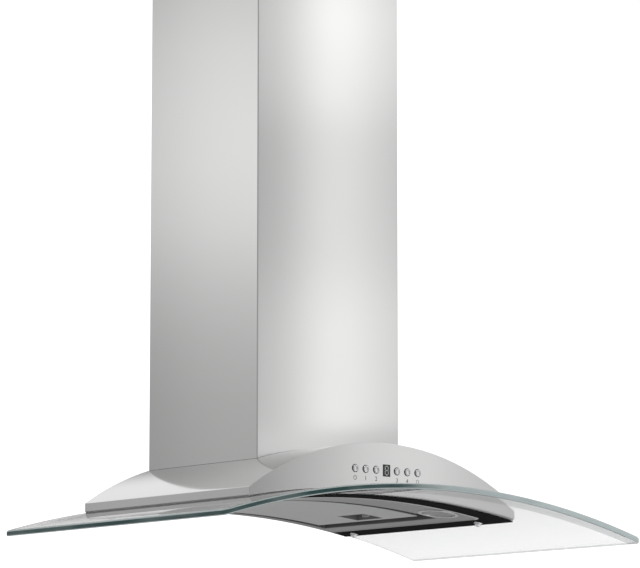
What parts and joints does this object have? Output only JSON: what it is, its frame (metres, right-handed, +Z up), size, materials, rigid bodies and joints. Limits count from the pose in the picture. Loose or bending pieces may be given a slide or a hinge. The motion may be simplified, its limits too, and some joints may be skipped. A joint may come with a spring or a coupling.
{
  "type": "wall mount range hood",
  "caption": "Wall mount range hood with an arched steel body on a curved glass canopy, a tall telescoping box chimney, push buttons, lamps and a swing-down suction panel.",
  "frame": {"origin": "centre of the four wall screw holes, on the back plate's face against the wall", "axes": "+Y points into the wall, the front faces -Y, +Z is up along the chimney, +X is to the right seen from the front"},
  "size_m": [0.762, 0.48, 1.012],
  "materials": {
    "glass": "clear float glass with a green edge, polished",
    "steel": "satin stainless sheet, fine brushed grain",
    "inner_steel": "satin stainless sheet, seen from below",
    "galvanised": "galvanised sheet, dull",
    "chrome": "bright plated",
    "screw_steel": "zinc plated",
    "black_paint": "satin black enamel",
    "seal_rubber": "matt",
    "black_plastic": "moulded, fine texture",
    "filter_alu": "anodised, expanded mesh",
    "lamp_glass": "frosted",
    "lamp_body": "cast, satin",
    "board_white": "white solder mask",
    "board_green": "green solder mask",
    "smoked": "smoked clear plastic, glossy",
    "motor_paint": "dark grey enamel",
    "capacitor_shell": "moulded"
  },
  "bodies": {
    "root": {"glass_canopy": "glass", "glass_seal": "seal_rubber", "under_frame": "black_paint", "glass_bolts": "screw_steel", "cap_nuts": "chrome", "body_shell": "steel", "control_panel": "steel", "back_plate": "galvanised", "bottom_plate": "inner_steel", "intake_rim": "inner_steel", "hinge_brackets": "inner_steel", "panel_hinge_pins": "screw_steel", "latch_keeper": "inner_steel", "filter_frame": "filter_alu", "filter_mesh": "filter_alu", "lamp_bezels": "chrome", "lamp_lenses": "lamp_glass", "lamp_housings": "lamp_body", "lamp_boards": "board_white", "blower_box": "galvanised", "scroll_housing": "galvanised", "inlet_rings": "galvanised", "motor": "motor_paint", "motor_bracket": "galvanised", "bracket_screws": "screw_steel", "outlet_collar": "galvanised", "collar_screws": "screw_steel", "damper_pins": "screw_steel", "terminal_box": "black_plastic", "cable_gland": "black_plastic", "capacitor": "capacitor_shell", "capacitor_clip": "galvanised", "control_frame": "black_plastic", "control_board": "board_green", "display_module": "black_plastic", "display_window": "smoked", "button_bezels": "chrome", "push_switches": "black_plastic", "lower_chimney": "steel", "cover_clips": "galvanised", "upper_bracket": "galvanised"},
    "button_1": {"button_1": "chrome"},
    "button_2": {"button_2": "chrome"},
    "button_3": {"button_3": "chrome"},
    "button_4": {"button_4": "chrome"},
    "button_5": {"button_5": "chrome"},
    "button_6": {"button_6": "chrome"},
    "panel": {"suction_panel": "inner_steel", "panel_hinge_eyes": "inner_steel", "pull_cup": "black_plastic"},
    "latch": {"latch_slide": "screw_steel"},
    "fan": {"fan_wheel": "galvanised", "motor_shaft": "screw_steel"},
    "flap_front": {"damper_flap_front": "galvanised"},
    "flap_back": {"damper_flap_back": "galvanised"},
    "upper_cover": {"upper_chimney": "steel"}
  },
  "joints": [
    {"name": "button_1_press", "type": "slide", "parent": "root", "child": "button_1", "axis": [0, 1, 0], "range_m": [0, 0.0012], "stiffness_N_per_m": 400, "springref_m": -0.001},
    {"name": "button_2_press", "type": "slide", "parent": "root", "child": "button_2", "axis": [0, 1, 0], "range_m": [0, 0.0012], "stiffness_N_per_m": 400, "springref_m": -0.001},
    {"name": "button_3_press", "type": "slide", "parent": "root", "child": "button_3", "axis": [0, 1, 0], "range_m": [0, 0.0012], "stiffness_N_per_m": 400, "springref_m": -0.001},
    {"name": "button_4_press", "type": "slide", "parent": "root", "child": "button_4", "axis": [0, 1, 0], "range_m": [0, 0.0012], "stiffness_N_per_m": 400, "springref_m": -0.001},
    {"name": "button_5_press", "type": "slide", "parent": "root", "child": "button_5", "axis": [0, 1, 0], "range_m": [0, 0.0012], "stiffness_N_per_m": 400, "springref_m": -0.001},
    {"name": "button_6_press", "type": "slide", "parent": "root", "child": "button_6", "axis": [0, 1, 0], "range_m": [0, 0.0012], "stiffness_N_per_m": 400, "springref_m": -0.001},
    {"name": "panel_hinge", "type": "hinge", "parent": "root", "child": "panel", "pos_m": [-0.178, -0.135, -0.16263], "axis": [0, 1, 0], "range_deg": [0, 85]},
    {"name": "latch_slide", "type": "slide", "parent": "panel", "child": "latch", "axis": [1, 0, 0], "range_m": [-0.006, 0], "stiffness_N_per_m": 300, "springref_m": 0.002},
    {"name": "fan_spin", "type": "hinge", "parent": "root", "child": "fan", "pos_m": [0, -0.14, 0.022], "axis": [1, 0, 0], "continuous": true},
    {"name": "flap_front_swing", "type": "hinge", "parent": "root", "child": "flap_front", "pos_m": [0, -0.094, 0.145], "axis": [-1, 0, 0], "range_deg": [0, 80]},
    {"name": "flap_back_swing", "type": "hinge", "parent": "root", "child": "flap_back", "pos_m": [0, -0.086, 0.145], "axis": [1, 0, 0], "range_deg": [0, 80]},
    {"name": "cover_slide", "type": "slide", "parent": "root", "child": "upper_cover", "axis": [0, 0, 1], "range_m": [-0.15, 0.15]}
  ]
}
